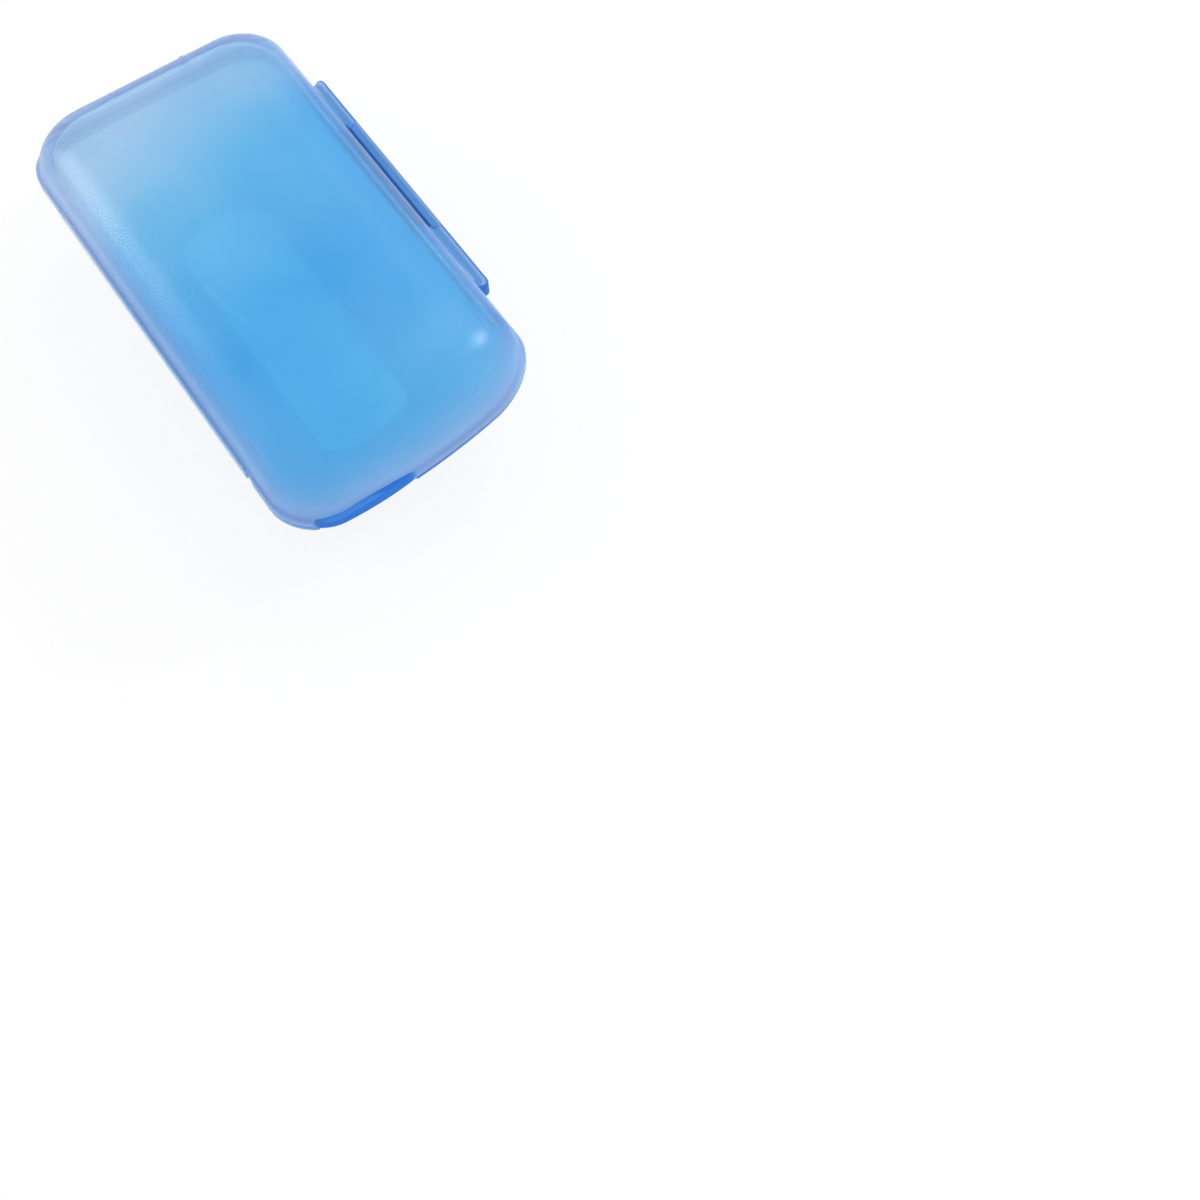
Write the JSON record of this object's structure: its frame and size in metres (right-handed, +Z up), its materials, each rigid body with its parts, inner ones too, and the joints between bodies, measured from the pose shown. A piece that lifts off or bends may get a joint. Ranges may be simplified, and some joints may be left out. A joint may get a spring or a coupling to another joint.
{
  "type": "toothbrush cover",
  "caption": "Snap-shut clamshell cover for a toothbrush head, with a moulded hinge film, a clasp tongue over a finger flange and an offset mouth for the brush's neck.",
  "frame": {"origin": "centre, in plan, of the two shells, on the flat outer face of the back shell that the closed cover lies on", "axes": "+X across the cover from the hinge side to the clasp side, +Y along it from the neck mouth to the closed end, +Z up, from the back shell to the front shell"},
  "size_m": [0.0245, 0.0447, 0.0147],
  "materials": {
    "shell_plastic": "translucent blue, frosted, with a soft sheen",
    "edge_plastic": "the same translucent blue, deeper where it is seen edge-on"
  },
  "bodies": {
    "back": {"back_shell": "shell_plastic", "hinge_film": "edge_plastic"},
    "lid": {"front_shell": "shell_plastic"},
    "latch": {"latch_tongue": "edge_plastic"}
  },
  "joints": [
    {"name": "lid_hinge", "type": "hinge", "parent": "back", "child": "lid", "pos_m": [-0.01168, 0.0005, 0.00866], "axis": [0, -1, 0], "range_deg": [0, 180], "deforming": ["hinge_film"]},
    {"name": "latch_flex", "type": "hinge", "parent": "back", "child": "latch", "pos_m": [0.01155, 0.003, 0.008], "axis": [0, 1, 0], "range_deg": [0, 9], "stiffness_Nm_per_rad": 0.14}
  ]
}
